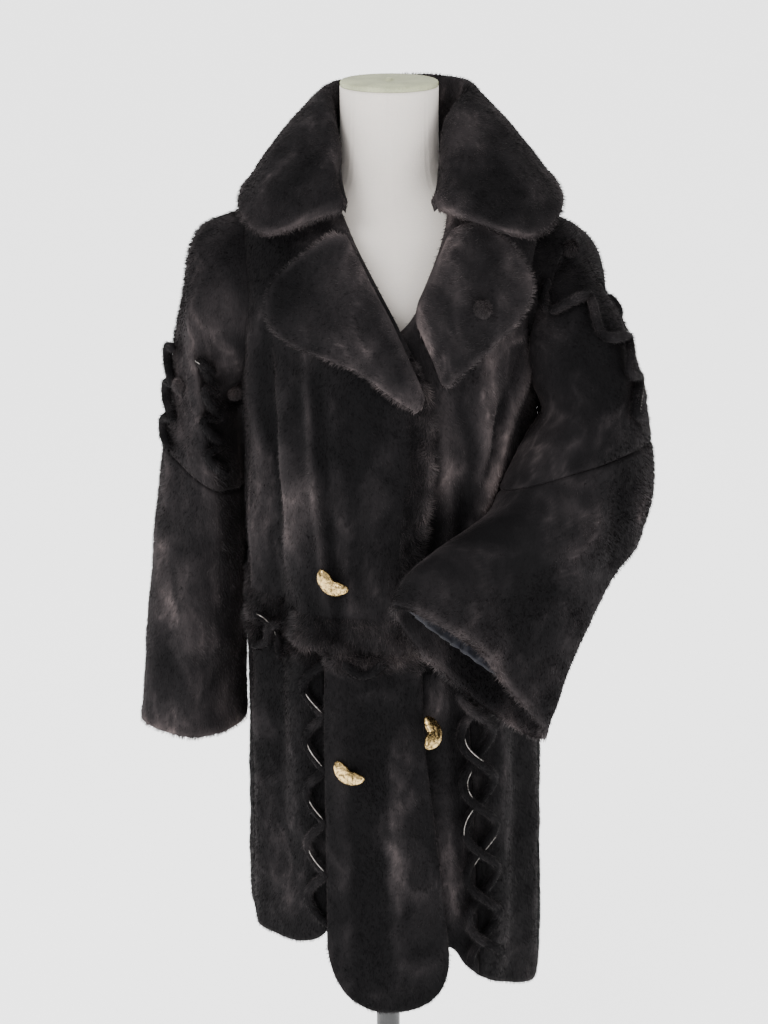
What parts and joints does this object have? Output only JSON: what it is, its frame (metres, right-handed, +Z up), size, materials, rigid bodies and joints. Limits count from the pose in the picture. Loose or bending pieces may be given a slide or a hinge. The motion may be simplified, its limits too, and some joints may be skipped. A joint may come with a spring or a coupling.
{
  "type": "fur coat worn on a limbless dress form",
  "caption": "Sheared fur coat with wide collar, lapels, laced fur cords and a bent left sleeve, worn on a limbless dress form that stands on a pole and round base.",
  "frame": {"origin": "centre of the stand base's flat underside, on the floor", "axes": "+Z up along the pole, the wearer faces -Y, +X is the wearer's left"},
  "size_m": [0.6436, 0.4592, 1.464],
  "materials": {
    "beaver_fur": "sheared beaver fur, very dark brown, with a soft sheen",
    "cord_fur": "round cords covered in the same sheared fur, slightly greyer",
    "lining_cloth": "gathered blue-grey satin",
    "gilt_metal": "polished gilt metal, bean-shaped buttons",
    "form_linen": "pale linen cover, matt",
    "cap_paint": "greenish beige paint, satin",
    "stand_paint": "dark grey paint, satin"
  },
  "bodies": {
    "root": {"bodice_back": "beaver_fur", "bodice_front_left": "beaver_fur", "bodice_front_right": "beaver_fur", "button_1": "gilt_metal", "button_2": "gilt_metal", "button_3": "gilt_metal", "collar": "beaver_fur", "cuff_lining_left": "lining_cloth", "form_cap": "cap_paint", "form_torso": "form_linen", "lapel_left": "beaver_fur", "lapel_right": "beaver_fur", "skirt_back": "beaver_fur", "skirt_centre_left": "beaver_fur", "skirt_centre_right": "beaver_fur", "skirt_lacing_left_a": "cord_fur", "skirt_lacing_left_b": "cord_fur", "skirt_lacing_right": "cord_fur", "skirt_side_left": "beaver_fur", "skirt_side_right": "beaver_fur", "sleeve_cord_left_front": "cord_fur", "sleeve_cord_left_outer": "cord_fur", "sleeve_cord_right_front": "cord_fur", "sleeve_cord_right_outer": "cord_fur", "sleeve_lower_left": "beaver_fur", "sleeve_lower_right": "beaver_fur", "sleeve_upper_left": "beaver_fur", "sleeve_upper_right": "beaver_fur", "stand_base": "stand_paint", "stand_pole": "stand_paint", "waist_cord_back": "cord_fur", "waist_cord_centre": "cord_fur", "waist_cord_left": "cord_fur", "waist_crossing_a": "cord_fur", "waist_crossing_b": "cord_fur"}
  },
  "joints": []
}
